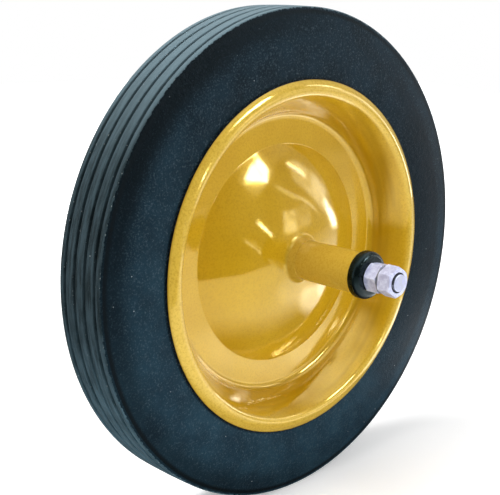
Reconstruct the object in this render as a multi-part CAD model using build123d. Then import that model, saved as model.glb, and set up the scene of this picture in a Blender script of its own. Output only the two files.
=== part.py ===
from build123d import *
import os
from math import cos, radians, sqrt

os.makedirs("parts", exist_ok=True)

# Semi-pneumatic barrow wheel, turning on a fixed axle. Sizes in mm.
# The origin is the wheel's centre, the axle lies along Y and the front faces -Y.
# A section is drawn in two numbers: r, out from the axle, and out, away from the wheel's middle plane.
SECTION = Plane((0, 0, 0), x_dir=(1, 0, 0), z_dir=(0, 0, -1))
HEX_PLANE = Plane.XZ

# Tyre
tyre_od = 357.0
section_height = 49.9
tread_half_width = 20.8
crown_drop = 0.4
sidewall_bulge = 2.3
sidewall_foot_inset = 0.5
shoulder_radius = 0.8
chamber_radius = 11.0
tread_wall = 12.8
land_width = 6.0

# Tread ribs
groove_count = 4
groove_pitch = 10.4
groove_width = 2.8
groove_bottom_width = 1.8
groove_depth = 3.0

# Pressed steel rim, two halves that meet on the middle plane
sheet = 1.6
lip_reach = 10.0
lip_drop = 3.0
lip_crown = 1.2
ridge_out = 29.6
ridge_radius = 6.5
wall_reach = 16.1
wall_bow = 1.5
well_radius = 6.0
flat_width = 21.5
foot_radius = 1.5
dome_rise = 22.4
neck_radius = 6.0
neck_height = 7.5
seat_gap = 0.05

# Hub
tube_od = 29.2
tube_wall = 2.0
tube_length = 162.2
press_gap = 0.02
bush_flange_od = 33.4
bush_flange_thickness = 8.5
bush_edge_radius = 4.5
bush_back_radius = 0.8
bush_shank_length = 22.0
bore_lead = 0.6

# Axle and its nuts
axle_od = 12.7
axle_tip = 1.5
axle_chamfer = 0.8
running_gap = 0.08
end_play = 0.3
nut_across_flats = 19.05
nut_thickness = 11.1
nut_corner_drop = 1.3
countersink_od = 14.6
thread_gap = 0.02
inner_nut_turn = -10.0
outer_nut_turn = 24.0

# Radii and places that follow from the sizes above
tyre_r = tyre_od / 2
shoulder_r = tyre_r - crown_drop
chamber_centre_r = tyre_r - groove_depth - tread_wall - chamber_radius
lip_r = tyre_r - section_height
lip_out = ridge_out - lip_drop
ridge_r = lip_r - lip_reach
well_r = ridge_r - wall_reach
foot_r = well_r - flat_width
tube_r = tube_od / 2
tube_bore_r = tube_r - tube_wall
tube_end = tube_length / 2
collar_r = tube_r + press_gap + sheet
axle_r = axle_od / 2
bush_face = tube_end + bush_flange_thickness
inner_nut_seat = bush_face + end_play
outer_nut_seat = inner_nut_seat + nut_thickness
axle_end = outer_nut_seat + nut_thickness + axle_tip


def turned(face):
    """A solid of revolution about the axle, from a face drawn in r and out."""
    return revolve(SECTION * face, axis=Axis.Y)


def rear_copy(piece):
    """The same piece on the wheel's other side."""
    return mirror(piece, about=Plane.XZ)


def rounded(wire, corner, radius):
    """The wire with the corner nearest the given point rounded."""
    vertex = wire.vertices().sort_by_distance(corner)[0]
    return wire.fillet_2d(radius, [vertex])


def plain(edges):
    """The edges with each offset arc redrawn as a true arc, so that the solids keep simple faces."""
    drawn = []
    for edge in edges:
        if edge.geom_type == GeomType.OFFSET:
            edge = ThreePointArc(edge @ 0, edge @ 0.5, edge @ 1)
        drawn.append(edge)
    return drawn


def dome_out(r):
    """Height of the dome's outer face above the middle plane at a radius."""
    sphere_r = (foot_r**2 + dome_rise**2) / (2 * dome_rise)
    return sheet + dome_rise - sphere_r + sqrt(sphere_r**2 - r**2)


def well_wall(ridge, well):
    """The slightly bowed wall between the lip's ridge and the bottom of the well."""
    depth = ridge_out - sheet
    length = sqrt(wall_reach**2 + depth**2)
    mid_r = (ridge_r + well_r) / 2 - wall_bow * depth / length
    mid_out = (ridge_out + sheet) / 2 + wall_bow * wall_reach / length
    return ThreePointArc(ridge, (mid_r, mid_out), well)


def rim_line():
    """Outer face of a rim half in section, from the lip's edge in to the end of its neck."""
    lip_mid_r = (lip_r + ridge_r) / 2
    lip_mid_out = (lip_out + ridge_out) / 2 + lip_crown
    dome_mid_r = (foot_r + collar_r) / 2
    lip_edge = (lip_r, lip_out)
    ridge = (ridge_r, ridge_out)
    well = (well_r, sheet)
    foot = (foot_r, sheet)
    neck = (collar_r, dome_out(collar_r))
    neck_end = (collar_r, dome_out(collar_r) + neck_height)
    lip = ThreePointArc(lip_edge, (lip_mid_r, lip_mid_out), ridge)
    wall = well_wall(ridge, well)
    flat = Line(well, foot)
    dome = ThreePointArc(foot, (dome_mid_r, dome_out(dome_mid_r)), neck)
    collar = Line(neck, neck_end)
    wire = Wire([lip, wall, flat, dome, collar])
    for corner, radius in (
        (ridge, ridge_radius),
        (well, well_radius),
        (foot, foot_radius),
        (neck, neck_radius),
    ):
        wire = rounded(wire, corner, radius)
    return wire


def rim_half():
    """One pressed half: lip, well wall, flat welding ring, dome and neck, all one sheet."""
    section = rim_line().offset_2d(sheet, side=Side.LEFT, closed=True)
    return turned(make_face(plain(section.edges())))


def rim_plug():
    """Everything on the outer side of the tyre's seat, for cutting that seat."""
    back = rim_line().offset_2d(sheet + seat_gap, side=Side.LEFT, closed=False)
    neck_end, lip_end = sorted([back.position_at(0), back.position_at(1)], key=lambda end: end.X)
    top = ridge_out + 2 * sheet
    edge_r = lip_r + seat_gap
    frame = Polyline(neck_end, (neck_end.X, top), (edge_r, top), (edge_r, lip_out), lip_end)
    return turned(make_face(plain(back.edges()) + frame.edges()))


def tyre_blank():
    """The tyre's outer form in section, with its crowned tread and full sidewalls."""
    sidewall_r = (shoulder_r + lip_r) / 2
    foot_r_out = (lip_r + sidewall_foot_inset, lip_out - sheet)
    shoulder = (shoulder_r, tread_half_width)
    sidewall_out = (foot_r_out[1] + tread_half_width) / 2 + sidewall_bulge
    land_r = well_r + sheet + (land_width / 2) * (ridge_r - well_r) / (ridge_out - sheet)

    def other(point):
        return (point[0], -point[1])

    sidewall_mid = (sidewall_r, sidewall_out)
    ridge = (ridge_r, ridge_out)
    land = (land_r, land_width / 2)
    tread = ThreePointArc(other(shoulder), (tyre_r, 0), shoulder)
    front_wall = ThreePointArc(shoulder, sidewall_mid, foot_r_out)
    base = Polyline(foot_r_out, ridge, land, other(land), other(ridge), other(foot_r_out))
    rear_wall = ThreePointArc(other(foot_r_out), other(sidewall_mid), other(shoulder))
    outline = Wire([tread, front_wall, *base.edges(), rear_wall])
    for corner in (shoulder, other(shoulder)):
        outline = rounded(outline, corner, shoulder_radius)
    return turned(make_face(outline))


def tread_groove(out):
    """One groove round the tread, a little narrower at its bottom."""
    bottom = tyre_r - groove_depth
    top = tyre_r + groove_depth
    slope = (groove_width - groove_bottom_width) / 2 / groove_depth
    top_half = groove_width / 2 + slope * (top - tyre_r)
    bottom_half = groove_bottom_width / 2
    profile = Polyline(
        (bottom, out - bottom_half),
        (top, out - top_half),
        (top, out + top_half),
        (bottom, out + bottom_half),
        close=True,
    )
    return turned(make_face(profile))


def tyre():
    """Rubber tyre with ribs round its tread and one sealed air chamber inside."""
    body = tyre_blank()
    for i in range(groove_count):
        body -= tread_groove((i - (groove_count - 1) / 2) * groove_pitch)
    chamber = SECTION * Pos(chamber_centre_r, 0) * Circle(chamber_radius)
    body -= revolve(chamber, axis=Axis.Y)
    plug = rim_plug()
    return body - plug - rear_copy(plug)


def ring(inner_r, outer_r, start, end):
    """A plain ring about the axle between two places along it."""
    profile = Polyline((inner_r, start), (outer_r, start), (outer_r, end), (inner_r, end), close=True)
    return turned(make_face(profile))


def hub_tube():
    """Plain tube that both domes are welded to."""
    return ring(tube_bore_r, tube_r, -tube_end, tube_end)


def bush():
    """Flanged plastic bush, pressed into the tube's end."""
    bore_r = axle_r + running_gap
    shank_r = tube_bore_r - press_gap
    flange_r = bush_flange_od / 2
    shank_end = tube_end - bush_shank_length
    outline = Wire(
        Polyline(
            (bore_r, shank_end),
            (shank_r, shank_end),
            (shank_r, tube_end),
            (flange_r, tube_end),
            (flange_r, bush_face),
            (bore_r, bush_face),
            close=True,
        ).edges()
    )
    outline = rounded(outline, (flange_r, bush_face), bush_edge_radius)
    outline = rounded(outline, (flange_r, tube_end), bush_back_radius)
    for corner in ((bore_r, bush_face), (bore_r, shank_end)):
        vertex = outline.vertices().sort_by_distance(corner)[0]
        outline = outline.chamfer_2d(bore_lead, bore_lead, [vertex])
    return turned(make_face(outline))


def axle():
    """Straight steel axle with chamfered ends."""
    tip_r = axle_r - axle_chamfer
    shank_end = axle_end - axle_chamfer
    profile = Polyline(
        (0, -axle_end),
        (tip_r, -axle_end),
        (axle_r, -shank_end),
        (axle_r, shank_end),
        (tip_r, axle_end),
        (0, axle_end),
        close=True,
    )
    return turned(make_face(profile))


def nut(seat, turn):
    """Plain hexagon nut, chamfered and countersunk on both faces, with its inner face at seat."""
    flat_r = nut_across_flats / 2
    corner_r = flat_r / cos(radians(30))
    bore_r = axle_r + thread_gap
    sink_r = countersink_od / 2
    sink = sink_r - bore_r
    face = seat + nut_thickness
    prism = extrude(HEX_PLANE.offset(seat) * RegularPolygon(corner_r, 6, rotation=turn), nut_thickness)
    profile = Polyline(
        (sink_r, seat),
        (flat_r, seat),
        (corner_r, seat + nut_corner_drop),
        (corner_r, face - nut_corner_drop),
        (flat_r, face),
        (sink_r, face),
        (bore_r, face - sink),
        (bore_r, seat + sink),
        close=True,
    )
    return prism & turned(make_face(profile))


front_pieces = {
    "rim": rim_half(),
    "bush": bush(),
    "inner_nut": nut(inner_nut_seat, inner_nut_turn),
    "outer_nut": nut(outer_nut_seat, outer_nut_turn),
}
nodes = {"tyre": tyre(), "hub_tube": hub_tube(), "axle": axle()}
for name, piece in front_pieces.items():
    nodes[name + "_front"] = piece
    nodes[name + "_rear"] = rear_copy(piece)

for name, piece in nodes.items():
    export_step(piece, f"parts/{name}.step")
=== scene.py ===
import math

import bpy
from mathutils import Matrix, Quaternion, Vector


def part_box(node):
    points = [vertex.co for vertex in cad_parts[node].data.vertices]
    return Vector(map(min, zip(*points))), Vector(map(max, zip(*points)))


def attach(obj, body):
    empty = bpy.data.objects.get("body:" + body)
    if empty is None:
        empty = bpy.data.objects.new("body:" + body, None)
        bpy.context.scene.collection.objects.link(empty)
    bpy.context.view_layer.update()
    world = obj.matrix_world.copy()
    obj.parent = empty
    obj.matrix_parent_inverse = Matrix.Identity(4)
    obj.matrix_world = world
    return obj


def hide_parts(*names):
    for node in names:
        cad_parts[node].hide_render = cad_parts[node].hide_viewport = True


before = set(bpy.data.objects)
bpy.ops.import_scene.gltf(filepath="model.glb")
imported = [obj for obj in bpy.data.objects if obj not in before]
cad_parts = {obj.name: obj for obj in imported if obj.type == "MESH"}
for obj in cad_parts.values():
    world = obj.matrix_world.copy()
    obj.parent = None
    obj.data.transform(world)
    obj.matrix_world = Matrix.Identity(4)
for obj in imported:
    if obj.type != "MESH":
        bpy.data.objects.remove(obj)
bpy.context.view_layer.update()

# Semi-pneumatic barrow wheel. A section is drawn in millimetres, in two numbers: r, out from the axle,
# and out, away from the wheel's middle plane. The front faces -Y.
MM = 0.001
FRONT = -1
REAR = 1

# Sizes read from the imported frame, in millimetres
TYRE_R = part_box("tyre")[1].x / MM
LIP_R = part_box("rim_front")[1].x / MM
TUBE_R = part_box("hub_tube")[1].x / MM
TUBE_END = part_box("hub_tube")[1].y / MM
AXLE_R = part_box("axle")[1].x / MM
AXLE_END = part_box("axle")[1].y / MM
FLANGE_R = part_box("bush_front")[1].x / MM
FLANGE_FACE = -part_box("bush_front")[0].y / MM
SHANK_END = -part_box("bush_front")[1].y / MM
NUT_SEATS = {name: -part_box(name + "_front")[1].y / MM for name in ("inner_nut", "outer_nut")}
NUT_FACES = {name: -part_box(name + "_front")[0].y / MM for name in ("inner_nut", "outer_nut")}

# Tyre
SHOULDER_OUT = 20.8
CROWN_DROP = 0.4
SIDEWALL_BULGE = 2.3
FOOT_INSET = 0.5
SHOULDER_RADIUS = 0.8
CHAMBER_RADIUS = 11.0
CHAMBER_R = 151.7
LAND_HALF = 4.0
GROOVES = 4
GROOVE_PITCH = 10.4
GROOVE_WIDTH = 2.8
GROOVE_BOTTOM = 1.8
GROOVE_DEPTH = 3.0
RIB_EDGE_RADIUS = 0.5
FOOT_EDGE_RADIUS = 0.3

# Pressed rim half
SHEET = 1.6
LIP_OUT = 26.6
LIP_CROWN = 1.2
RIDGE_R = LIP_R - 10.0
RIDGE_OUT = 29.6
RIDGE_RADIUS = 6.5
WELL_R = RIDGE_R - 16.1
WALL_BOW = 1.5
WELL_RADIUS = 6.0
FOOT_R = WELL_R - 21.5
FOOT_RADIUS = 1.5
DOME_RISE = 22.4
NECK_RADIUS = 3.5
NECK_HEIGHT = 7.5
PRESS_GAP = 0.02
SEAT_GAP = 0.05
COLLAR_R = TUBE_R + PRESS_GAP + SHEET
CUT_EDGE_RADIUS = 0.4
NECK_EDGE_RADIUS = 0.1
NECK_TAPER = 1.25

# Hub tube, bushes, axle and nuts
TUBE_WALL = 2.0
FLANGE_EDGE_RADIUS = 4.5
FLANGE_BACK_RADIUS = 0.8
BORE_LEAD = 0.6
RUNNING_GAP = 0.08
AXLE_CHAMFER = 0.8
THREAD_LENGTH = 27.0
THREAD_PITCH = 1.95
THREAD_DEPTH = 0.45
ACROSS_FLATS = 19.05
CORNER_DROP = 1.3
COUNTERSINK_R = 7.3
THREAD_GAP = 0.02
NUT_EDGE_BLEND = 0.12
NUT_TURNS = {"inner_nut": -10.0, "outer_nut": 24.0}
BLANK_EXCESS = 0.3

# Steps round the axle, so many that the turned forms look smooth
TYRE_STEPS = 460
RIM_STEPS = 540
NUT_STEPS = 240
HUB_STEPS = 192

# How finely sections are drawn: steps along a run, then lengths in millimetres
LIP_STEPS = 8
WELL_WALL_STEPS = 10
FLAT_STEPS = 5
DOME_STEPS = 24
NECK_STEPS = 3
SIDEWALL_STEPS = 22
CHAMBER_STEPS = 16
BEND_STEPS = 6
RIB_BEND_STEPS = 3
PITCH_STEPS = 8
CROWN_SPACING = 1.6
SHARP_EDGE = 0.02
LEAST_REACH = 1e-4

# Kinds of node that come up often
MATH = "ShaderNodeMath"
VECTOR_MATH = "ShaderNodeVectorMath"
NOISE = "ShaderNodeTexNoise"


def hex_colour(code):
    """Linear colour from an sRGB hex value."""
    values = [int(code[i : i + 2], 16) / 255 for i in (0, 2, 4)]
    linear = [v / 12.92 if v <= 0.04045 else ((v + 0.055) / 1.055) ** 2.4 for v in values]
    return (*linear, 1.0)


def feed(tree, node, inputs):
    """Gives inputs, by name or number, a value, an output, or a node for its first output."""
    for name, value in inputs.items():
        if isinstance(value, bpy.types.Node):
            value = value.outputs[0]
        if isinstance(value, bpy.types.NodeSocket):
            tree.links.new(value, node.inputs[name])
        else:
            node.inputs[name].default_value = value


def add(tree, kind, inputs=None, **settings):
    """Adds a node with its settings and links."""
    node = tree.nodes.new(kind)
    for name, value in settings.items():
        setattr(node, name, value)
    feed(tree, node, inputs or {})
    return node


# Sections


def line(a, b, count=1):
    """Points along a straight run, both ends in."""
    return [a.lerp(b, i / count) for i in range(count + 1)]


def arc(a, through, b, count):
    """Points along the arc through three points, both ends in."""
    (ax, ay), (bx, by), (cx, cy) = a, through, b
    d = 2 * (ax * (by - cy) + bx * (cy - ay) + cx * (ay - by))
    a2, b2, c2 = ax * ax + ay * ay, bx * bx + by * by, cx * cx + cy * cy
    centre_x = a2 * (by - cy) + b2 * (cy - ay) + c2 * (ay - by)
    centre_y = a2 * (cx - bx) + b2 * (ax - cx) + c2 * (bx - ax)
    centre = Vector((centre_x, centre_y)) / d
    start, end = a - centre, b - centre
    turn = math.atan2(start.cross(end), start.dot(end))
    return [centre + turned(start, turn * i / count) for i in range(count + 1)]


def turned(v, angle):
    """A plane vector turned anticlockwise."""
    c, s = math.cos(angle), math.sin(angle)
    return Vector((c * v.x - s * v.y, s * v.x + c * v.y))


def trimmed(points, length):
    """The points with that much length taken off the end, and a new end point there."""
    points = list(points)
    while len(points) > 2 and (points[-1] - points[-2]).length < length:
        length -= (points[-1] - points[-2]).length
        points.pop()
    last = points[-1] - points[-2]
    points[-1] = points[-2] + last * max(0.0, 1 - length / last.length)
    return points


def rounded(runs, radii, count=BEND_STEPS):
    """Runs of points joined end to end, each corner rounded to its radius by a soft bend."""
    runs = [list(run) for run in runs]
    bends = []
    for i, radius in enumerate(radii):
        j = (i + 1) % len(runs)
        before = (runs[i][-1] - runs[i][-2]).normalized()
        after = (runs[j][1] - runs[j][0]).normalized()
        turn = abs(math.atan2(before.cross(after), before.dot(after)))
        reach = max(LEAST_REACH, radius * math.tan(turn / 2))
        corner = runs[i][-1].copy()
        runs[i] = trimmed(runs[i], reach)
        runs[j] = trimmed(runs[j][::-1], reach)[::-1]
        a, b = runs[i][-1], runs[j][0]
        weight = math.cos(turn / 2)
        bend = []
        for k in range(1, count):
            t = k / count
            wa, wc, wb = (1 - t) ** 2, 2 * t * (1 - t) * weight, t * t
            bend.append((a * wa + corner * wc + b * wb) / (wa + wc + wb))
        bends.append(bend)
    points = []
    for run, bend in zip(runs, bends + [[]]):
        points += run + bend
    return points


def beside(points, distance):
    """The line moved sideways, to the left of its direction."""
    moved = []
    for i, p in enumerate(points):
        before = p - points[i - 1] if i else points[1] - p
        after = points[i + 1] - p if i + 1 < len(points) else before
        along = (before.normalized() + after.normalized()).normalized()
        moved.append(p + Vector((-along.y, along.x)) * distance)
    return moved


def dome_out(r):
    """Height of the dome's outer face above the middle plane."""
    ball = (FOOT_R**2 + DOME_RISE**2) / (2 * DOME_RISE)
    return SHEET + DOME_RISE - ball + math.sqrt(ball**2 - r**2)


def rim_line(taper=0.0):
    """Outer face of a rim half, from the lip's edge in to the neck's end, which may taper to the tube."""
    lip = Vector((LIP_R, LIP_OUT))
    ridge = Vector((RIDGE_R, RIDGE_OUT))
    well = Vector((WELL_R, SHEET))
    foot = Vector((FOOT_R, SHEET))
    neck = Vector((COLLAR_R, dome_out(COLLAR_R)))
    end = neck + Vector((-taper, NECK_HEIGHT))
    crown = (lip + ridge) / 2 + Vector((0, LIP_CROWN))
    bow = Vector((ridge.y - well.y, well.x - ridge.x)).normalized() * -WALL_BOW
    half = (FOOT_R + COLLAR_R) / 2
    runs = [
        arc(lip, crown, ridge, LIP_STEPS),
        arc(ridge, (ridge + well) / 2 + bow, well, WELL_WALL_STEPS),
        line(well, foot, FLAT_STEPS),
        arc(foot, Vector((half, dome_out(half))), neck, DOME_STEPS),
        line(neck, end, NECK_STEPS),
    ]
    return rounded(runs, [RIDGE_RADIUS, WELL_RADIUS, FOOT_RADIUS, NECK_RADIUS])


def rim_section():
    """Closed section of one pressed half, its cut edges a little rounded."""
    outer = rim_line(NECK_TAPER)
    inner = beside(rim_line(), SHEET)[::-1]
    runs = [outer, line(outer[-1], inner[0]), inner, line(inner[-1], outer[0])]
    return closed_section(runs, [NECK_EDGE_RADIUS, NECK_EDGE_RADIUS, CUT_EDGE_RADIUS, CUT_EDGE_RADIUS])


def closed_section(runs, radii):
    """A closed line of runs with all its corners rounded."""
    first = runs[0]
    middle = len(first) // 2
    opened = [first[middle:]] + runs[1:] + [first[: middle + 1]]
    return rounded(opened, radii)[:-1]


def tread_line():
    """The crowned tread from rear to front shoulder, with its grooves and their softened edges."""
    ball = (SHOULDER_OUT**2 + CROWN_DROP**2) / (2 * CROWN_DROP)

    def crown(out):
        return TYRE_R - ball + math.sqrt(ball**2 - out**2)

    runs = []
    radii = []
    start = -SHOULDER_OUT
    floor_r = TYRE_R - GROOVE_DEPTH
    for i in range(GROOVES + 1):
        middle = (i - (GROOVES - 1) / 2) * GROOVE_PITCH
        end = middle - GROOVE_WIDTH / 2 if i < GROOVES else SHOULDER_OUT
        count = max(2, round((end - start) / CROWN_SPACING))
        outs = [start + (end - start) * k / count for k in range(count + 1)]
        runs.append([Vector((crown(out), out)) for out in outs])
        if i == GROOVES:
            break
        low = Vector((floor_r, middle - GROOVE_BOTTOM / 2))
        high = Vector((floor_r, middle + GROOVE_BOTTOM / 2))
        start = middle + GROOVE_WIDTH / 2
        runs.append(line(runs[-1][-1], low, 2))
        runs.append(line(low, high))
        runs.append(line(high, Vector((crown(start), start)), 2))
        radii += [RIB_EDGE_RADIUS] * 4
    return rounded(runs, radii, RIB_BEND_STEPS)


def seat_line():
    """Where the rubber sits on the front rim half, from the lip's edge in to the land."""
    back = beside(rim_line(), SHEET + SEAT_GAP)
    return [p for p in back if p.x > WELL_R and p.y > LAND_HALF]


def tyre_section():
    """Closed section of the tyre."""
    shoulder = Vector((TYRE_R - CROWN_DROP, SHOULDER_OUT))
    foot = Vector((LIP_R + FOOT_INSET, LIP_OUT - SHEET))
    bulge = Vector(((shoulder.x + LIP_R) / 2, (foot.y + SHOULDER_OUT) / 2 + SIDEWALL_BULGE))
    seat = seat_line()
    front_wall = arc(shoulder, bulge, foot, SIDEWALL_STEPS)
    flip = Vector((1, -1))
    rear_seat = [p * flip for p in seat[::-1]]
    rear_wall = [p * flip for p in front_wall[::-1]]
    runs = [tread_line(), front_wall, [foot, *seat, *rear_seat, foot * flip], rear_wall]
    return closed_section(runs, [SHOULDER_RADIUS, FOOT_EDGE_RADIUS, FOOT_EDGE_RADIUS, SHOULDER_RADIUS])


def chamber_section():
    """The sealed air chamber inside the rubber, drawn the other way round so that it is a hollow."""
    centre = Vector((CHAMBER_R, 0))
    spoke = Vector((CHAMBER_RADIUS, 0))
    angles = [-2 * math.pi * i / CHAMBER_STEPS for i in range(CHAMBER_STEPS)]
    return [centre + turned(spoke, angle) for angle in angles]


def corner_points(*pairs):
    """Plane points from pairs of r and out."""
    return [Vector(pair) for pair in pairs]


def cornered_section(corners, radii, counts=None):
    """A closed section of straight runs between corners, each rounded to its radius; 0 keeps it sharp."""
    total = len(corners)
    counts = counts or [1] * total
    runs = [line(corners[i], corners[(i + 1) % total], counts[i]) for i in range(total)]
    runs[0] = line(corners[0], corners[1], max(2, counts[0]))
    return closed_section(runs, [max(radius, SHARP_EDGE) for radius in radii[1:] + radii[:1]])


def tube_section():
    """The hub tube's wall, its two cut ends a little rounded."""
    bore = TUBE_R - TUBE_WALL
    corners = corner_points((bore, -TUBE_END), (TUBE_R, -TUBE_END), (TUBE_R, TUBE_END), (bore, TUBE_END))
    return cornered_section(corners, [0.2, 0.3, 0.3, 0.2])


def bush_section():
    """A flanged bush: a shank in the tube and a flange with a well rounded outer edge."""
    bore = AXLE_R + RUNNING_GAP
    shank = TUBE_R - TUBE_WALL - PRESS_GAP
    corners = corner_points((bore, SHANK_END + BORE_LEAD), (bore + BORE_LEAD, SHANK_END), (shank, SHANK_END))
    corners += corner_points((shank, TUBE_END), (FLANGE_R, TUBE_END), (FLANGE_R, FLANGE_FACE))
    corners += corner_points((bore + BORE_LEAD, FLANGE_FACE), (bore, FLANGE_FACE - BORE_LEAD))
    return cornered_section(corners, [0.1, 0.1, 0.2, 0, FLANGE_BACK_RADIUS, FLANGE_EDGE_RADIUS, 0.15, 0.15])


def axle_section():
    """The axle from end to end, closely divided where its threads are."""
    tip = AXLE_R - AXLE_CHAMFER
    start = AXLE_END - THREAD_LENGTH
    steps = round(THREAD_LENGTH / THREAD_PITCH * PITCH_STEPS)
    half = corner_points((AXLE_R, start), (AXLE_R, AXLE_END - AXLE_CHAMFER), (tip, AXLE_END), (0, AXLE_END))
    corners = [p * Vector((1, -1)) for p in half[::-1]] + half
    counts = [6, 4, steps, 1, steps, 4, 6, 1]
    return [p for i, count in enumerate(counts) for p in line(corners[i], corners[(i + 1) % 8], count)[:-1]]


def nut_section(seat, face):
    """A nut's blank before it gets its six flats: bore, countersinks, end faces and corner chamfers."""
    flat = ACROSS_FLATS / 2
    corner = flat / math.cos(math.radians(30))
    reach = corner + BLANK_EXCESS
    drop = CORNER_DROP * (reach - flat) / (corner - flat)
    bore = AXLE_R + THREAD_GAP
    sink = COUNTERSINK_R - bore
    corners = corner_points((bore, seat + sink), (COUNTERSINK_R, seat), (flat, seat), (reach, seat + drop))
    corners += corner_points((reach, face - drop), (flat, face), (COUNTERSINK_R, face), (bore, face - sink))
    radii = [0.1, 0.15, 0.1, 0.05, 0.05, 0.1, 0.15, 0.1]
    return cornered_section(corners, radii, [3, 4, 14, 8, 14, 4, 3, 2])


# Forms made by Geometry Nodes

MERGE_DISTANCE = 2e-6
LEAST_RADIUS = 1e-7
FLASH_STRAY = 0.12 * MM
FLASH_SINK = 0.35
FLASH_PROUD = 0.05
LEAST_SLIVER = (0.5, 0.5, 0.3)
RING_POINTS = 180


def node_tree(name, inputs):
    """An empty Geometry Nodes tree with named inputs, and the outputs that these inputs come in by."""
    tree = bpy.data.node_groups.new(name, "GeometryNodeTree")
    for label, kind in {"Geometry": "Geometry", **inputs, "Material": "Material"}.items():
        tree.interface.new_socket(label, in_out="INPUT", socket_type="NodeSocket" + kind)
    tree.interface.new_socket("Geometry", in_out="OUTPUT", socket_type="NodeSocketGeometry")
    return tree, add(tree, "NodeGroupInput").outputs


def finish(tree, last, given):
    """Ends a tree: smooth, realized, with its material."""
    smooth = add(tree, "GeometryNodeSetShadeSmooth", {"Geometry": last})
    real = add(tree, "GeometryNodeRealizeInstances", {"Geometry": smooth})
    dressed = add(tree, "GeometryNodeSetMaterial", {"Geometry": real, "Material": given["Material"]})
    add(tree, "NodeGroupOutput", {"Geometry": dressed})
    return tree


def spinning_tree():
    """Carries a section, drawn as edges with r along X and out along Y, once round the axle."""
    tree, given = node_tree("spun round the axle", {"Steps": "Int", "Path radius": "Float"})
    ring = {"Resolution": given["Steps"], "Radius": given["Path radius"]}
    path = add(tree, "GeometryNodeCurvePrimitiveCircle", ring)
    section = add(tree, "GeometryNodeMeshToCurve", {"Mesh": given["Geometry"]})
    skin = add(tree, "GeometryNodeCurveToMesh", {"Curve": path, "Profile Curve": section})
    stood = add(tree, "GeometryNodeTransform", {"Geometry": skin, "Rotation": (math.pi / 2, 0, 0)})
    closed = add(tree, "GeometryNodeMergeByDistance", {"Geometry": stood, "Distance": MERGE_DISTANCE})
    return finish(tree, closed, given)


def radius_in(tree, place):
    """Distance from the axle."""
    flat = add(tree, VECTOR_MATH, {0: place, 1: (1, 0, 1)}, operation="MULTIPLY")
    return add(tree, VECTOR_MATH, {0: flat}, operation="LENGTH").outputs["Value"]


def polar(tree):
    """Where a point lies: its place, distance from the axle, angle round it, and how far along it."""
    place = add(tree, "GeometryNodeInputPosition")
    parts = add(tree, "ShaderNodeSeparateXYZ", {0: place}).outputs
    angle = add(tree, MATH, {0: parts["Z"], 1: parts["X"]}, operation="ARCTAN2")
    return place, radius_in(tree, place), angle, parts["Y"]


def moved_radially(tree, geometry, place, radius, new_radius):
    """Moves points to a new distance from the axle."""
    some_radius = add(tree, MATH, {0: radius, 1: LEAST_RADIUS}, operation="MAXIMUM")
    ratio = add(tree, MATH, {0: new_radius, 1: some_radius}, operation="DIVIDE")
    spread = add(tree, "ShaderNodeCombineXYZ", {0: ratio, 1: 1.0, 2: ratio})
    moved = add(tree, VECTOR_MATH, {0: place, 1: spread}, operation="MULTIPLY")
    return add(tree, "GeometryNodeSetPosition", {"Geometry": geometry, "Position": moved})


def flattening_tree():
    """Presses six flats on a turned blank, with softly blended edges."""
    sizes = {"Flat distance": "Float", "Turn": "Float", "Edge blend": "Float"}
    tree, given = node_tree("six flats on a turned blank", sizes)
    place, radius, angle, _ = polar(tree)
    sector = math.radians(60)
    from_corner = add(tree, MATH, {0: angle, 1: given["Turn"]}, operation="SUBTRACT")
    in_sector = add(tree, MATH, {0: from_corner, 1: sector}, operation="FLOORED_MODULO")
    off_middle = add(tree, MATH, {0: in_sector, 1: sector / 2}, operation="SUBTRACT")
    lean = add(tree, MATH, {0: off_middle}, operation="COSINE")
    flat = add(tree, MATH, {0: given["Flat distance"], 1: lean}, operation="DIVIDE")
    pressed = add(tree, MATH, {0: radius, 1: flat, 2: given["Edge blend"]}, operation="SMOOTH_MIN")
    return finish(tree, moved_radially(tree, given["Geometry"], place, radius, pressed), given)


def threading_tree():
    """Cuts a thread into both ends of a turned rod, running out at its chamfers."""
    sizes = {"Thread start": "Float", "Pitch": "Float", "Depth": "Float", "Core radius": "Float"}
    tree, given = node_tree("thread on both ends of a rod", sizes)
    place, radius, angle, out = polar(tree)
    turns = add(tree, MATH, {0: angle, 1: 1 / (2 * math.pi)}, operation="MULTIPLY")
    pitches = add(tree, MATH, {0: out, 1: given["Pitch"]}, operation="DIVIDE")
    along = add(tree, MATH, {0: pitches, 1: turns}, operation="ADD")
    wave = add(tree, MATH, {0: along, 1: 1.0}, operation="PINGPONG")
    height = add(tree, MATH, {0: wave, 1: given["Depth"]}, operation="MULTIPLY")
    cut = add(tree, MATH, {0: given["Core radius"], 1: height}, operation="ADD")
    distance = add(tree, MATH, {0: out}, operation="ABSOLUTE")
    plain = add(tree, MATH, {0: distance, 1: given["Thread start"]}, operation="LESS_THAN")
    limit = add(tree, MATH, {0: cut, 1: plain}, operation="ADD")
    threaded = add(tree, MATH, {0: radius, 1: limit}, operation="MINIMUM")
    return finish(tree, moved_radially(tree, given["Geometry"], place, radius, threaded), given)


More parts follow.
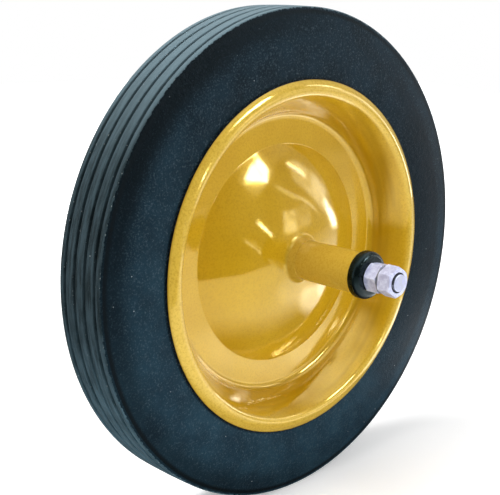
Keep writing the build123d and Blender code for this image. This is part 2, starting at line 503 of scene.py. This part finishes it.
def flash_tree():
    """Leaves small slivers of flash here and there along ring paths."""
    sizes = {"Spacing": "Float", "Thickness": "Float", "Length": "Float", "Share": "Float", "Seed": "Int"}
    tree, given = node_tree("slivers of flash along rings", sizes)
    paths = add(tree, "GeometryNodeMeshToCurve", {"Mesh": given["Geometry"]})
    dividing = {"Curve": paths, "Length": given["Spacing"]}
    points = add(tree, "GeometryNodeCurveToPoints", dividing, mode="LENGTH")
    chance = {6: given["Share"], 8: given["Seed"]}
    chosen = add(tree, "FunctionNodeRandomValue", chance, data_type="BOOLEAN").outputs[3]
    others = add(tree, "FunctionNodeBooleanMath", {0: chosen}, operation="NOT")
    sparse = add(tree, "GeometryNodeDeleteGeometry", {"Geometry": points, "Selection": others})
    stray = {0: (-FLASH_STRAY,) * 3, 1: (FLASH_STRAY,) * 3, 8: given["Seed"]}
    shift = add(tree, "FunctionNodeRandomValue", stray, data_type="FLOAT_VECTOR")
    moved = add(tree, "GeometryNodeSetPosition", {"Geometry": sparse, "Offset": shift})
    thick, length = given["Thickness"], given["Length"]
    largest = add(tree, "ShaderNodeCombineXYZ", {0: thick, 1: thick, 2: length})
    smallest = add(tree, VECTOR_MATH, {0: largest, 1: LEAST_SLIVER}, operation="MULTIPLY")
    between = {0: smallest, 1: largest, 8: given["Seed"]}
    scale = add(tree, "FunctionNodeRandomValue", between, data_type="FLOAT_VECTOR")
    bead = add(tree, "GeometryNodeMeshIcoSphere", {"Radius": 0.5, "Subdivisions": 2})
    placing = {"Points": moved, "Instance": bead, "Rotation": points.outputs["Rotation"], "Scale": scale}
    return finish(tree, add(tree, "GeometryNodeInstanceOnPoints", placing), given)


def rib_edge_rings():
    """Rings along the edges of the tread's ribs and along both shoulders, just in the rubber's skin."""
    edge_r = TYRE_R - CROWN_DROP - FLASH_SINK
    edges = [(edge_r, side * (SHOULDER_OUT + FLASH_PROUD)) for side in (FRONT, REAR)]
    for i in range(GROOVES):
        middle = (i - (GROOVES - 1) / 2) * GROOVE_PITCH
        for out in (middle - GROOVE_WIDTH / 2, middle + GROOVE_WIDTH / 2):
            edges.append((TYRE_R - CROWN_DROP * (out / SHOULDER_OUT) ** 2 - FLASH_SINK, out))
    count = RING_POINTS
    places = []
    joins = []
    for r, out in edges:
        first = len(places)
        joins += [(first + i, first + (i + 1) % count) for i in range(count)]
        for i in range(count):
            angle = 2 * math.pi * i / count
            places.append((r * MM * math.cos(angle), out * MM, r * MM * math.sin(angle)))
    mesh = bpy.data.meshes.new("rib_edge_rings")
    mesh.from_pydata(places, joins, [])
    return mesh


def grown(name, mesh, steps):
    """A plain mesh object made from a starting mesh by Geometry Nodes trees, each with its values."""
    seed = bpy.data.objects.new(name + "_seed", mesh)
    bpy.context.scene.collection.objects.link(seed)
    for tree, values in steps:
        modifier = seed.modifiers.new("shape", "NODES")
        modifier.node_group = tree
        rows = [row for row in tree.interface.items_tree if row.in_out == "INPUT"]
        sockets = {row.name: row.identifier for row in rows}
        for label, value in values.items():
            modifier[sockets[label]] = value
    view = bpy.context.evaluated_depsgraph_get()
    made = bpy.data.meshes.new_from_object(seed.evaluated_get(view))
    bpy.data.objects.remove(seed)
    made.name = name
    piece = bpy.data.objects.new(name, made)
    bpy.context.scene.collection.objects.link(piece)
    return piece


def spun(name, sections, side, steps, material, *shaping):
    """A turned piece from one or more closed sections; the front's are mirrored to the front."""
    path_r = TYRE_R / 2
    places = []
    edges = []
    for section in sections:
        first = len(places)
        order = section if side == REAR else section[::-1]
        places += [((p.x - path_r) * MM, p.y * side * MM, 0) for p in order]
        pairs = [(i, (i + 1) % len(order)) for i in range(len(order))]
        edges += [(first + i, first + j) for i, j in pairs if order[i].x or order[j].x]
    mesh = bpy.data.meshes.new(name + "_section")
    mesh.from_pydata(places, edges, [])
    turning = {"Steps": steps, "Path radius": path_r * MM, "Material": material}
    shaping = [(tree, {**values, "Material": material}) for tree, values in shaping]
    return grown(name, mesh, [(SPINNING, turning), *shaping])


def dress(piece, body, node):
    """Puts a finished piece on its body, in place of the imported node."""
    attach(piece, body)
    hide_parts(node)


# Finishes


def surface(name):
    """A new material with its tree, its shader, and Object coordinates in metres."""
    material = bpy.data.materials.new(name)
    material.use_nodes = True
    tree = material.node_tree
    place = add(tree, "ShaderNodeTexCoord").outputs["Object"]
    return material, tree, tree.nodes["Principled BSDF"], place


def per_metre(size_mm):
    """Texture scale that gives a pattern of that size."""
    return 1 / (size_mm * MM)


def soft_share(tree, *spans):
    """The product of soft steps, each (value, low, high) and what it gives there, if not 0 and 1."""
    product = None
    for value, low, high, *ends in spans:
        at_low, at_high = ends or (0.0, 1.0)
        span = {"Value": value, "From Min": low, "From Max": high, "To Min": at_low, "To Max": at_high}
        step = add(tree, "ShaderNodeMapRange", span, interpolation_type="SMOOTHSTEP")
        product = add(tree, MATH, {0: product, 1: step}, operation="MULTIPLY") if product else step
    return product.outputs[0]


def layered(tree, base, *layers):
    """A base colour with layers over it, each (share, colour). A colour is a hex value or an output."""
    below = hex_colour(base) if isinstance(base, str) else base
    for share, colour in layers:
        over = hex_colour(colour) if isinstance(colour, str) else colour
        below = add(tree, "ShaderNodeMix", {0: share, 6: below, 7: over}, data_type="RGBA").outputs[2]
    return below


def flecks(tree, place, spacing_mm, radius_mm, share):
    """Scattered dots: how far apart they lie, how large they are, and the share of places that has one."""
    cells = {"Vector": place, "Scale": per_metre(spacing_mm), "Randomness": 1.0}
    cells = add(tree, "ShaderNodeTexVoronoi", cells).outputs
    pick = add(tree, "ShaderNodeSeparateColor", {0: cells["Color"]})
    edge = radius_mm / spacing_mm
    dot = (cells["Distance"], edge * 0.6, edge, 1.0, 0.0)
    return soft_share(tree, dot, (pick.outputs[0], 1 - share, 1 - share + 0.01))


def roughened(tree, *layers):
    """Bump from layers of (height, depth in mm), one on top of the other."""
    normal = None
    for height, depth_mm in layers:
        below = {"Normal": normal} if normal else {}
        bump = {"Height": height, "Distance": depth_mm * MM, "Strength": 1.0, **below}
        normal = add(tree, "ShaderNodeBump", bump)
    return normal


def moulded_rubber():
    """Cured rubber from a steel mould: matt black with a blue-grey bloom, paler with dust on the tread, with
    painted light and shade.
    """
    material, tree, shader, place = surface("moulded tyre rubber")
    radius = radius_in(tree, place)
    parts = add(tree, "ShaderNodeSeparateXYZ", {0: place}).outputs
    across, out = parts["X"], parts["Y"]
    downward = {0: place, 1: (-0.35, 0, -0.94)}
    low = add(tree, VECTOR_MATH, downward, operation="DOT_PRODUCT").outputs["Value"]
    cloud = add(tree, NOISE, {"Vector": place, "Scale": per_metre(28), "Detail": 5.0, "Roughness": 0.6})
    patches = soft_share(tree, (cloud, 0.25, 0.75))
    # The mould's real grain is finer. It is drawn 1.3 mm wide, so that it just shows.
    grain = add(tree, NOISE, {"Vector": place, "Scale": per_metre(1.3), "Detail": 3.0, "Roughness": 0.7})

    # Sidewalls: paler below in painted light, darker in painted shade by the left shoulder, on the inner
    # right and at the rim's lip
    base_wall = layered(tree, "0A161D", (patches, "12242F"))
    wall_in_painted_light = layered(tree, "162B38", (patches, "223E4D"))
    painted_light_below = soft_share(tree, (low, -0.14, 0.16))
    on_left = ((across, -0.08, 0.1, 0.96, 0.0), (low, -0.06, 0.12, 1.0, 0.6))
    left_shoulder_shade = soft_share(tree, (radius, 151 * MM, 169 * MM), *on_left)
    shaded = soft_share(tree, (across, 0.06, 0.14, 0.0, 0.7), (radius, 158 * MM, 168 * MM, 1.0, 0.0))
    lip_shadow = soft_share(tree, (radius, (LIP_R + 0.4) * MM, (LIP_R + 2.6) * MM, 0.9, 0.0))
    painted_shade_layers = [(left_shoulder_shade, "04080A"), (shaded, "04090D"), (lip_shadow, "05080A")]
    wall = layered(tree, base_wall, (painted_light_below, wall_in_painted_light), *painted_shade_layers)

    # Tread: streaks that run along the grooves, paler above and below in painted light, darker at mid height
    drawn_out = add(tree, VECTOR_MATH, {0: place, 1: (0.12, 1.0, 0.12)}, operation="MULTIPLY")
    fibre = {"Vector": drawn_out, "Scale": per_metre(2.4), "Detail": 3.0, "Roughness": 0.6}
    streaks = soft_share(tree, (add(tree, NOISE, fibre), 0.3, 0.7))
    tread_base = layered(tree, "1A2325", (streaks, "36454B"))
    tread_in_painted_light = layered(tree, "3A515B", (streaks, "53707D"))
    below = soft_share(tree, (low, 0.05, 0.17))
    above = soft_share(tree, (low, -0.14, 0.0, 0.6, 0.0))
    tread = layered(tree, tread_base, (below, tread_in_painted_light), (above, "788F98"))

    # The tread's colour starts at a ragged line on the shoulder and goes on down the grooves' walls
    torn = add(tree, NOISE, {"Vector": place, "Scale": per_metre(3.0), "Detail": 3.0, "Roughness": 0.7})
    stray = soft_share(tree, (torn, 0.3, 0.7, -0.5 * MM, 0.5 * MM))
    ragged = add(tree, MATH, {0: stray, 1: radius}, operation="ADD")
    shoulder_r = TYRE_R - CROWN_DROP
    past_line = soft_share(tree, (ragged, (shoulder_r - 0.9) * MM, (shoulder_r - 0.5) * MM))
    from_middle = add(tree, MATH, {0: out}, operation="ABSOLUTE")
    groove_walls = (from_middle, 18.0 * MM, 19.0 * MM, 1.0, 0.0)
    in_grooves = soft_share(tree, groove_walls, (radius, 172 * MM, 174 * MM))
    on_tread = add(tree, MATH, {0: past_line, 1: in_grooves}, operation="MAXIMUM")
    # Painted shade on the grooves' floors
    floor_r = TYRE_R - GROOVE_DEPTH + 0.1
    groove_floor_span = (radius, floor_r * MM, (TYRE_R - 2.2) * MM, 1.0, 0.0)
    groove_shade = soft_share(tree, groove_floor_span, (radius, 172 * MM, 174.5 * MM, 0.0, 0.9))

    # Fewer pale grains where the sidewall carries painted shade
    dark = add(tree, MATH, {0: left_shoulder_shade, 1: shaded}, operation="MAXIMUM")
    speckle = soft_share(tree, (grain, 0.5, 0.75), (dark, 0.2, 0.9, 0.42, 0.1))
    grit = add(tree, MATH, {0: flecks(tree, place, 7, 0.45, 0.22), 1: 0.7}, operation="MULTIPLY")
    layers = [(on_tread, tread), (speckle, "5C6E78"), (grit, "B9C2C6"), (groove_shade, "0B0F11")]
    colour = layered(tree, wall, *layers)
    lumps = add(tree, NOISE, {"Vector": place, "Scale": per_metre(4.0)})
    normal = roughened(tree, (grain, 0.25), (lumps, 0.35))
    roughness = soft_share(tree, (grain, 0.2, 0.8, 0.42, 0.6))
    feed(tree, shader, {"Base Color": colour, "Roughness": roughness, "Normal": normal, "IOR": 1.52})
    feed(tree, shader, {"Specular IOR Level": 0.08, "Specular Tint": hex_colour("9CC4DC")})
    return material


def dusty_flash():
    """Torn rubber flash: dry and matt, paler than the tyre because dust clings to its ragged edge."""
    material, tree, shader, place = surface("dusty rubber flash")
    cloud = add(tree, NOISE, {"Vector": place, "Scale": per_metre(9), "Detail": 3.0})
    colour = layered(tree, "4C5A5E", (soft_share(tree, (cloud, 0.35, 0.65)), "A9B3B4"))
    feed(tree, shader, {"Base Color": colour, "Roughness": 0.7, "IOR": 1.52, "Specular IOR Level": 0.2})
    return material


def golden_enamel():
    """Stoved gloss enamel on pressed steel: wet-looking under its clear coat, with orange peel and waves."""
    material, tree, shader, place = surface("golden yellow gloss enamel")
    radius = radius_in(tree, place)
    cloud = add(tree, NOISE, {"Vector": place, "Scale": per_metre(45), "Detail": 3.0})
    waves = add(tree, NOISE, {"Vector": place, "Scale": per_metre(38), "Detail": 1.0})
    peel = add(tree, NOISE, {"Vector": place, "Scale": per_metre(2.6)})

    # The press drew the well's wall, which leaves faint rings there; painted shade and painted reflections
    # darken the wall in streaks along them
    rings = add(tree, "ShaderNodeCombineXYZ", {0: radius})
    ringed = add(tree, VECTOR_MATH, {0: place, 1: (0.05,) * 3, 2: rings}, operation="MULTIPLY_ADD")
    drawn = add(tree, NOISE, {"Vector": ringed, "Scale": per_metre(3.2), "Detail": 1.0})
    wall_starts = (radius, (WELL_R - 4) * MM, (WELL_R + 1) * MM)
    wall_ends = (radius, (RIDGE_R - 6) * MM, (RIDGE_R - 2) * MM, 1.0, 0.0)
    on_wall = soft_share(tree, wall_starts, wall_ends)
    wall_rings = add(tree, MATH, {0: drawn, 1: on_wall}, operation="MULTIPLY")
    wall_shade = soft_share(tree, wall_starts, wall_ends, (drawn, 0.3, 0.7, 0.2, 0.65))

    # Painted light: the lip is paler, as if lit by the bright room above it
    lip_light = soft_share(tree, (radius, (RIDGE_R - 3.0) * MM, (RIDGE_R + 1.0) * MM, 0.0, 0.6))
    # Painted shade along the lip's outer edge, next to the tyre
    lip_edge_shade = soft_share(tree, (radius, (LIP_R - 1.2) * MM, LIP_R * MM, 0.0, 0.5))
    on_pipe = soft_share(tree, (radius, 15.4 * MM, 18.0 * MM, 0.6, 0.0))
    # Pits and dust in real enamel are finer. They are drawn 1.6 mm wide, so that they just show.
    speckle = {"Vector": place, "Scale": per_metre(1.6), "Detail": 3.0, "Roughness": 0.7}
    mottle = soft_share(tree, (add(tree, NOISE, speckle), 0.42, 0.68, 0.0, 0.42))
    nibs = flecks(tree, place, 9, 0.4, 0.12)
    faint_nibs = add(tree, MATH, {0: nibs, 1: 0.35}, operation="MULTIPLY")
    layers = [(soft_share(tree, (cloud, 0.3, 0.7)), "D7AC25"), (lip_light, "E9C658"), (lip_edge_shade, "9A6A10")]
    layers += [(wall_shade, "A87E10"), (on_pipe, "CDB050"), (mottle, "B4880F"), (faint_nibs, "8A5E0C")]
    colour = layered(tree, "CDA11A", *layers)
    normal = roughened(tree, (waves, 0.9), (wall_rings, 0.12), (peel, 0.03), (nibs, 0.02))
    roughness = soft_share(tree, (cloud, 0.2, 0.8, 0.07, 0.13))
    feed(tree, shader, {"Base Color": colour, "Roughness": roughness, "Normal": normal, "IOR": 1.52})
    feed(tree, shader, {"Specular IOR Level": 1.0, "Specular Tint": hex_colour("FFE57C")})
    feed(tree, shader, {"Coat Weight": 0.28, "Coat Roughness": 0.03, "Coat IOR": 1.5})
    return material


def black_nylon():
    """Injection-moulded black nylon: satin, a little green in the light, with pale flecks from handling."""
    material, tree, shader, place = surface("moulded black nylon")
    cloud = add(tree, NOISE, {"Vector": place, "Scale": per_metre(6), "Detail": 4.0, "Roughness": 0.6})
    scuffs = add(tree, MATH, {0: flecks(tree, place, 3.2, 0.4, 0.4), 1: 0.7}, operation="MULTIPLY")
    sheen = soft_share(tree, (cloud, 0.35, 0.75))
    colour = layered(tree, "040707", (sheen, "0D1615"), (scuffs, "7E9592"))
    # A mould's spark-eroded texture is finer. It is drawn 0.8 mm wide, so that it breaks the gloss.
    texture = add(tree, NOISE, {"Vector": place, "Scale": per_metre(0.8)})
    normal = roughened(tree, (texture, 0.03))
    roughness = soft_share(tree, (cloud, 0.3, 0.7, 0.18, 0.34))
    feed(tree, shader, {"Base Color": colour, "Roughness": roughness, "Normal": normal, "IOR": 1.53})
    feed(tree, shader, {"Specular IOR Level": 0.3, "Specular Tint": hex_colour("A8D0D8")})
    return material


def zinc_plate():
    """Bright zinc plate on forged steel: pale, faintly lilac, broken by bloom, with painted shade in the
    gaps.
    """
    material, tree, shader, place = surface("bright zinc plate")
    radius = radius_in(tree, place)
    out = add(tree, "ShaderNodeSeparateXYZ", {0: place}).outputs["Y"]
    bloom = add(tree, NOISE, {"Vector": place, "Scale": per_metre(3.5), "Detail": 4.0, "Roughness": 0.6})

    # Painted shade lies in the seam between the two nuts of a side and in the gap round the thread
    from_middle = add(tree, MATH, {0: out}, operation="ABSOLUTE")
    seam_side = add(tree, MATH, {0: from_middle, 1: NUT_SEATS["outer_nut"] * MM}, operation="SUBTRACT")
    off_seam = add(tree, MATH, {0: seam_side}, operation="ABSOLUTE")
    gap_side = add(tree, MATH, {0: radius, 1: (AXLE_R + 0.15) * MM}, operation="SUBTRACT")
    off_gap = add(tree, MATH, {0: gap_side}, operation="ABSOLUTE")
    seam_shade = soft_share(tree, (off_seam, 0.35 * MM, 1.1 * MM, 0.8, 0.0))
    thread_gap_shade = soft_share(tree, (off_gap, 0.35 * MM, 0.75 * MM, 0.96, 0.0))
    gap_shade = add(tree, MATH, {0: seam_shade, 1: thread_gap_shade}, operation="MAXIMUM")

    brighter = soft_share(tree, (bloom, 0.3, 0.7))
    on_tip = soft_share(tree, (radius, 5.2 * MM, 5.8 * MM, 0.5, 0.0), (bloom, 0.35, 0.6))
    colour = layered(tree, "B8BCE0", (brighter, "E0E6FF"), (on_tip, "8C909C"), (gap_shade, "0C1014"))
    dents = add(tree, NOISE, {"Vector": place, "Scale": per_metre(2.5), "Detail": 1.0})
    normal = roughened(tree, (dents, 0.02))
    roughness = soft_share(tree, (bloom, 0.3, 0.7, 0.32, 0.44))
    metallic = soft_share(tree, (gap_shade, 0.0, 1.0, 0.28, 0.0))
    feed(tree, shader, {"Base Color": colour, "Roughness": roughness, "Normal": normal})
    feed(tree, shader, {"Metallic": metallic})
    return material


# Floor, light and camera. Azimuth 0 is straight out from the wheel's front, 90 to its right.

CAMERA_AZIMUTH = -44.057
CAMERA_ELEVATION = 14.332
CAMERA_DISTANCE = 798.0
CAMERA_RIGHT = -20.9
CAMERA_UP = 3.7
CAMERA_FOCAL_PIXELS = 1080.7
CAMERA_CLIP_START = 0.05
IMAGE_WIDTH = 500
SENSOR = 36.0

# The paper floor in metres, its own light near the wheel, and how bright gloss sees it near and far
TABLE_EDGE_AZIMUTH = -20
TABLE_EDGE_DISTANCE = 0.52
FLOOR_HALF = 1.8
FLOOR_LIFT = 0.32
TABLE_NEAR = 2.1
TABLE_FAR = 0.9
# Painted pools of light that gloss sees on the floor: x, y, reach, brightness
FLOOR_PATCHES = [(0.21, -0.23, 0.12, 1.0), (0.25, -0.11, 0.09, 3.0), (0.36, -0.08, 0.1, 4.0)]

# The room that gloss sees: its span in degrees, its radius in metres, and its brightness
ROOM_FROM = -85
ROOM_TO = 105
ROOM_LOW = -35
ROOM_HIGH = 80
ROOM_RADIUS = 2.5
ROOM_COLUMNS = 24
ROOM_ROWS = 12
ROOM_DIM = 0.08
ROOM_PALE = 0.5
ROOM_CEILING = 2.6
ROOM_LEVEL = 0.48

# Lamps: azimuth, elevation, size in metres, brightness
LAMP_DISTANCE = 1.6
LAMPS = {"key": (8, 14, 0.8, 3.6), "overhead": (-120, 66, 1.2, 6.5)}

# The bright pane of the window: azimuth and elevation of its corners, brightness
CARD_DISTANCE = 1.5
WINDOW_CORNERS = [(13, 31.5), (22, 36.5), (32.5, 38), (35, 31), (29, 25)]
WINDOW_LEVEL = 44.0

# Soft bright shapes in the enamel: azimuth, elevation, width, height in metres, roll, brightness
CARDS = {
    "glow of the window": (24, 31, 0.7, 0.45, 20, 2.5),
    "narrow window": (55, 22, 0.07, 0.42, 42, 16.0),
    "side window": (62, 13, 0.36, 0.95, 42, 3.6),
    "pane of the side window": (78, -6, 0.15, 0.95, 44, 15.0),
    "small window": (18.5, 4.0, 0.06, 0.38, 48, 34.0),
    "left rail": (10, -4, 0.035, 0.4, 52, 6.0),
    "upper rail": (48, 12, 0.035, 1.0, 52, 6.0),
    "pale cloth": (37, 4, 0.32, 0.32, -10, 5.0),
    "pale shelf": (47, 4, 0.45, 0.3, 0, 2.0),
    "pale wall above": (48, 38, 0.9, 0.5, 0, 0.9),
    "pale wall behind": (-112, 12, 1.6, 1.6, 0, 2.0),
}


def towards(azimuth, elevation):
    """Direction from the wheel."""
    a, e = math.radians(azimuth), math.radians(elevation)
    return Vector((math.sin(a) * math.cos(e), -math.cos(a) * math.cos(e), math.sin(e)))


def set_camera():
    """The photograph's viewpoint: from the front's left and a little above."""
    back = towards(CAMERA_AZIMUTH, CAMERA_ELEVATION)
    a = math.radians(CAMERA_AZIMUTH)
    right = Vector((math.cos(a), math.sin(a), 0))
    up = back.cross(right)
    data = bpy.data.cameras.new("camera")
    camera = bpy.data.objects.new("camera", data)
    bpy.context.scene.collection.objects.link(camera)
    camera.rotation_mode = "QUATERNION"
    camera.rotation_quaternion = (-back).to_track_quat("-Z", "Y")
    camera.location = (back * CAMERA_DISTANCE + right * CAMERA_RIGHT + up * CAMERA_UP) * MM
    data.sensor_width = SENSOR
    data.lens = CAMERA_FOCAL_PIXELS / IMAGE_WIDTH * SENSOR
    data.clip_start = CAMERA_CLIP_START
    bpy.context.scene.camera = camera


def staged(name, corners, faces, material):
    """A mesh of the studio, not of the object."""
    mesh = bpy.data.meshes.new(name)
    mesh.from_pydata(corners, [], faces)
    mesh.materials.append(material)
    piece = bpy.data.objects.new(name, mesh)
    bpy.context.scene.collection.objects.link(piece)
    return piece


def glossy_only(piece):
    """Lets a piece of the studio show in gloss and nowhere else."""
    piece.visible_camera = False
    piece.visible_diffuse = False
    piece.visible_transmission = False
    piece.visible_shadow = False


def seen_directly(tree):
    """1 for rays from the eye, from gloss or through glass, otherwise 0."""
    rays = add(tree, "ShaderNodeLightPath").outputs
    eye = add(tree, MATH, {0: rays["Is Camera Ray"], 1: rays["Is Glossy Ray"]}, operation="MAXIMUM")
    return add(tree, MATH, {0: eye, 1: rays["Is Transmission Ray"]}, operation="MAXIMUM").outputs[0]


def set_floor():
    """White paper on a table, with the wheel's shadow on it; gloss sees a painted shadow at the wheel's foot
    and painted pools of light.
    """
    z = -TYRE_R * MM
    front = towards(TABLE_EDGE_AZIMUTH, 0)
    along = Vector((-front.y, front.x, 0)) * FLOOR_HALF
    near = front * TABLE_EDGE_DISTANCE
    far = near - front * 2 * FLOOR_HALF
    corners = [near - along, near + along, far + along, far - along]
    material, tree, shader, place = surface("white paper floor")
    away = add(tree, VECTOR_MATH, {0: place}, operation="LENGTH").outputs["Value"]
    lift = soft_share(tree, (away, 0.3, 1.1, FLOOR_LIFT, 1.0))
    shown = add(tree, MATH, {0: seen_directly(tree), 1: lift}, operation="MULTIPLY")
    feed(tree, shader, {"Base Color": hex_colour("F6F6F6"), "Roughness": 0.9})
    feed(tree, shader, {"Emission Color": hex_colour("FFFFFF"), "Emission Strength": shown})
    parts = add(tree, "ShaderNodeSeparateXYZ", {0: place}).outputs
    # Painted shadow of the wheel where gloss sees the floor by its foot, and painted pools of light below
    foot = ((parts["Y"], -0.18, -0.075, 1.0, 0.05), (parts["X"], -0.5, -0.15))
    glow = soft_share(tree, *foot, (away, 0.5, 1.3, TABLE_NEAR, TABLE_FAR))
    for x, y, reach, level in FLOOR_PATCHES:
        apart = {0: place, 1: (x, y, z)}
        off = add(tree, VECTOR_MATH, apart, operation="DISTANCE").outputs["Value"]
        patch = soft_share(tree, (off, reach * 0.4, reach, level, 0.0))
        glow = add(tree, MATH, {0: glow, 1: patch}, operation="ADD")
    mirrored = add(tree, "ShaderNodeEmission", {"Strength": glow})
    gloss = add(tree, "ShaderNodeLightPath").outputs["Is Glossy Ray"]
    both = add(tree, "ShaderNodeMixShader", {0: gloss, 1: shader, 2: mirrored})
    feed(tree, tree.nodes["Material Output"], {"Surface": both})
    staged("floor", [(c.x, c.y, z) for c in corners], [(0, 1, 2, 3)], material)


def set_room():
    """The dim room that only gloss shows: dark to the left, paler to the right and above."""
    across = [ROOM_FROM + (ROOM_TO - ROOM_FROM) * i / ROOM_COLUMNS for i in range(ROOM_COLUMNS + 1)]
    upward = [ROOM_LOW + (ROOM_HIGH - ROOM_LOW) * i / ROOM_ROWS for i in range(ROOM_ROWS + 1)]
    corners = [towards(a, e) * ROOM_RADIUS for e in upward for a in across]
    row = len(across)
    starts = [j * row + i for j in range(ROOM_ROWS) for i in range(ROOM_COLUMNS)]
    faces = [(k, k + 1, k + row + 1, k + row) for k in starts]
    material, tree, shader, place = surface("dim room")
    unit = add(tree, VECTOR_MATH, {0: place}, operation="NORMALIZE")
    parts = add(tree, "ShaderNodeSeparateXYZ", {0: unit}).outputs
    side = soft_share(tree, (parts["X"], -0.35, 0.9))
    level = soft_share(tree, (side, 0.0, 1.0, ROOM_DIM, ROOM_PALE))
    ceiling = soft_share(tree, (parts["Z"], 0.6, 0.95, 0.0, ROOM_CEILING))
    lit = add(tree, MATH, {0: level, 1: ceiling}, operation="ADD")
    clutter = add(tree, NOISE, {"Vector": place, "Scale": per_metre(700), "Detail": 3.0})
    blotches = soft_share(tree, (clutter, 0.3, 0.7, 0.75, 1.25))
    glow = add(tree, MATH, {0: lit, 1: blotches}, operation="MULTIPLY")
    feed(tree, shader, {"Base Color": hex_colour("000000"), "Roughness": 1.0})
    feed(tree, shader, {"Emission Color": hex_colour("FFFFFF"), "Emission Strength": glow})
    glossy_only(staged("room", corners, faces, material))


def facing_wheel(azimuth, elevation, roll):
    """Turn of a thing that looks at the wheel from a direction."""
    return towards(azimuth, elevation).to_track_quat("Z", "Y") @ Quaternion((0, 0, 1), math.radians(roll))


def add_card(name, azimuth, elevation, width, height, roll, level):
    """A soft-edged bright card that only gloss shows, such as the mirror image of a lamp or a window."""
    corners = [Vector((x * width / 2, y * height / 2, 0)) for x, y in ((-1, -1), (1, -1), (1, 1), (-1, 1))]
    material, tree, shader, place = surface(name)
    parts = add(tree, "ShaderNodeSeparateXYZ", {0: place}).outputs
    edges = []
    for axis, span in (("X", width / 2), ("Y", height / 2)):
        reach = add(tree, MATH, {0: parts[axis]}, operation="ABSOLUTE")
        edges.append((reach, span * 0.55, span, 1.0, 0.0))
    smudges = {"Vector": place, "Scale": per_metre(min(width, height) * 700), "Detail": 3.0}
    smudged = (add(tree, NOISE, smudges), 0.3, 0.6, 0.25, 1.0)
    glow = add(tree, "ShaderNodeEmission", {"Strength": level})
    clear = add(tree, "ShaderNodeBsdfTransparent")
    both = add(tree, "ShaderNodeMixShader", {0: soft_share(tree, *edges, smudged), 1: clear, 2: glow})
    feed(tree, tree.nodes["Material Output"], {"Surface": both})
    card = staged(name, corners, [(0, 1, 2, 3)], material)
    card.location = towards(azimuth, elevation) * CARD_DISTANCE
    card.rotation_mode = "QUATERNION"
    card.rotation_quaternion = facing_wheel(azimuth, elevation, roll)
    glossy_only(card)


def add_pane(name, corners, level):
    """A bright window pane between corner directions, which only gloss shows."""
    material, tree, shader, place = surface(name)
    smudges = add(tree, NOISE, {"Vector": place, "Scale": per_metre(160), "Detail": 3.0})
    smudged = soft_share(tree, (smudges, 0.3, 0.6, 0.55, 1.0))
    strength = add(tree, MATH, {0: smudged, 1: level}, operation="MULTIPLY")
    glow = add(tree, "ShaderNodeEmission", {"Strength": strength})
    feed(tree, tree.nodes["Material Output"], {"Surface": glow})
    places = [towards(azimuth, elevation) * CARD_DISTANCE for azimuth, elevation in corners]
    glossy_only(staged(name, places, [tuple(range(len(places)))], material))


def add_lamp(name, azimuth, elevation, size, radiance):
    """A soft square lamp that faces the wheel, too large to see in the gloss."""
    lamp = bpy.data.lights.new(name, "AREA")
    lamp.size = size
    lamp.energy = radiance * math.pi * size**2
    holder = bpy.data.objects.new(name, lamp)
    bpy.context.scene.collection.objects.link(holder)
    holder.location = towards(azimuth, elevation) * LAMP_DISTANCE
    holder.rotation_mode = "QUATERNION"
    holder.rotation_quaternion = facing_wheel(azimuth, elevation, 0)
    holder.visible_camera = False
    holder.visible_glossy = False


def set_light():
    """A white room, a soft key lamp, one overhead, and the bright shapes that the enamel mirrors."""
    world = bpy.data.worlds.new("white room")
    bpy.context.scene.world = world
    world.use_nodes = True
    tree = world.node_tree
    strength = soft_share(tree, (seen_directly(tree), 0.0, 1.0, ROOM_LEVEL, 1.0))
    feed(tree, tree.nodes["Background"], {"Color": hex_colour("FFFFFF"), "Strength": strength})
    for name, values in LAMPS.items():
        add_lamp(name, *values)
    add_pane("window", WINDOW_CORNERS, WINDOW_LEVEL)
    for name, values in CARDS.items():
        add_card(name, *values)


bpy.context.scene.view_settings.view_transform = "Standard"
set_camera()
set_floor()
set_room()
set_light()

rubber = moulded_rubber()
enamel = golden_enamel()
nylon = black_nylon()
zinc = zinc_plate()
SPINNING = spinning_tree()
tyre = spun("ribbed_tyre", [tyre_section(), chamber_section()], REAR, TYRE_STEPS, rubber)
dress(tyre, "wheel", "tyre")
slivers = {"Spacing": 3.0 * MM, "Thickness": 0.34 * MM, "Length": 1.5 * MM, "Share": 0.13, "Seed": 4}
slivers["Material"] = dusty_flash()
flash = grown("rubber_flash", rib_edge_rings(), [(flash_tree(), slivers)])
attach(flash, "wheel")
pipe = spun("hub_pipe", [tube_section()], REAR, HUB_STEPS, enamel)
dress(pipe, "wheel", "hub_tube")

thread = {"Thread start": (AXLE_END - THREAD_LENGTH) * MM, "Pitch": THREAD_PITCH * MM}
thread.update({"Depth": THREAD_DEPTH * MM, "Core radius": (AXLE_R - THREAD_DEPTH) * MM})
rod = spun("threaded_axle", [axle_section()], REAR, HUB_STEPS, zinc, (threading_tree(), thread))
dress(rod, "axle_set", "axle")

flattening = flattening_tree()
flats = {"Flat distance": ACROSS_FLATS / 2 * MM, "Edge blend": NUT_EDGE_BLEND * MM}
for side, end in ((FRONT, "front"), (REAR, "rear")):
    rim = spun("pressed_rim_" + end, [rim_section()], side, RIM_STEPS, enamel)
    dress(rim, "wheel", "rim_" + end)
    bush = spun("flanged_bush_" + end, [bush_section()], side, HUB_STEPS, nylon)
    dress(bush, "wheel", "bush_" + end)
    for kind, turn in NUT_TURNS.items():
        blank = nut_section(NUT_SEATS[kind], NUT_FACES[kind])
        pressing = (flattening, {**flats, "Turn": math.radians(turn)})
        nut = spun("chamfered_" + kind + "_" + end, [blank], side, NUT_STEPS, zinc, pressing)
        dress(nut, "axle_set", kind + "_" + end)
